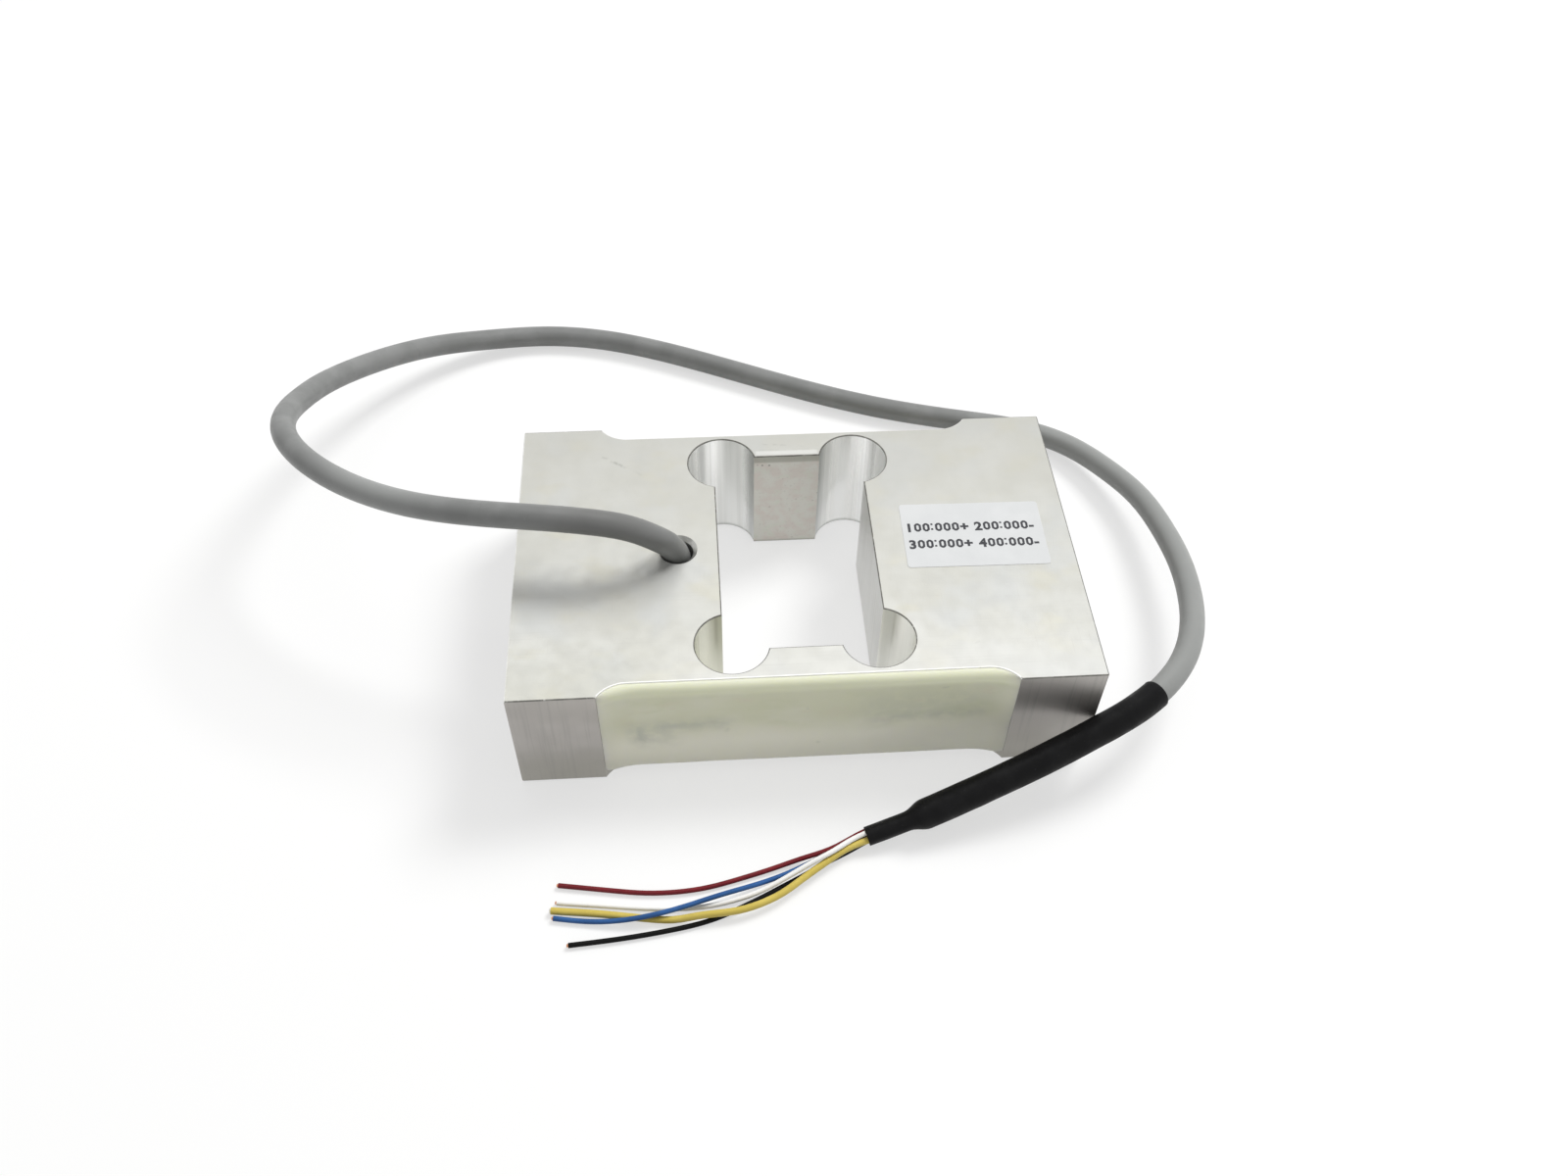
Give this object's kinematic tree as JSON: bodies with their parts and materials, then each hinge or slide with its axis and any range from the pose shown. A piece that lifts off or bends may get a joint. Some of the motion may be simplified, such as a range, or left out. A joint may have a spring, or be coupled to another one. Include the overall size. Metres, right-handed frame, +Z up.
{
  "type": "strain gauge load cell",
  "caption": "Single-point bending-beam load cell: a milled aluminium block with a lobed through opening, gauges sealed under silicone on both waists, and a grey lead ending in bare wires.",
  "frame": {"origin": "middle of the machined body's bottom face, without the lead; the body lies flat as in the picture", "axes": "+X along the body's length towards the end with the label, +Y across it away from the sleeve and its wires, +Z up out of the face that the lead leaves"},
  "size_m": [0.2615, 0.2293, 0.0568],
  "materials": {
    "milled_aluminium": "fine milled, satin",
    "silicone": "translucent, soft sheen",
    "gauge_film": "polyimide film with metal foil",
    "copper": "tinned pads",
    "board": "solder mask",
    "resistor": "matt",
    "ribbon": "flat lead",
    "seal": "matt",
    "grey_jacket": "satin",
    "black_sleeve": "fine matt",
    "label": "satin film",
    "red_insulation": "smooth",
    "white_insulation": "smooth",
    "blue_insulation": "smooth",
    "yellow_insulation": "smooth",
    "black_insulation": "smooth"
  },
  "bodies": {
    "root": {"machined_body": "milled_aluminium", "bore_seal": "seal", "lead_jacket": "grey_jacket", "heat_shrink_sleeve": "black_sleeve", "wiring_label": "label", "front_silicone_coat": "silicone", "front_bridge_board": "board", "front_lower_resistor": "resistor", "front_upper_resistor": "resistor", "front_near_gauge": "gauge_film", "front_far_gauge": "gauge_film", "front_near_terminal": "copper", "front_far_terminal": "copper", "front_near_ribbon": "ribbon", "front_far_ribbon": "ribbon", "rear_silicone_coat": "silicone", "rear_bridge_board": "board", "rear_lower_resistor": "resistor", "rear_upper_resistor": "resistor", "rear_near_gauge": "gauge_film", "rear_far_gauge": "gauge_film", "rear_near_terminal": "copper", "rear_far_terminal": "copper", "rear_near_ribbon": "ribbon", "rear_far_ribbon": "ribbon", "front_red_core": "red_insulation", "front_black_core": "black_insulation", "rear_blue_core": "blue_insulation", "rear_white_core": "white_insulation", "red_wire": "red_insulation", "white_wire": "white_insulation", "blue_wire": "blue_insulation", "yellow_wire": "yellow_insulation", "black_wire": "black_insulation"}
  },
  "joints": []
}
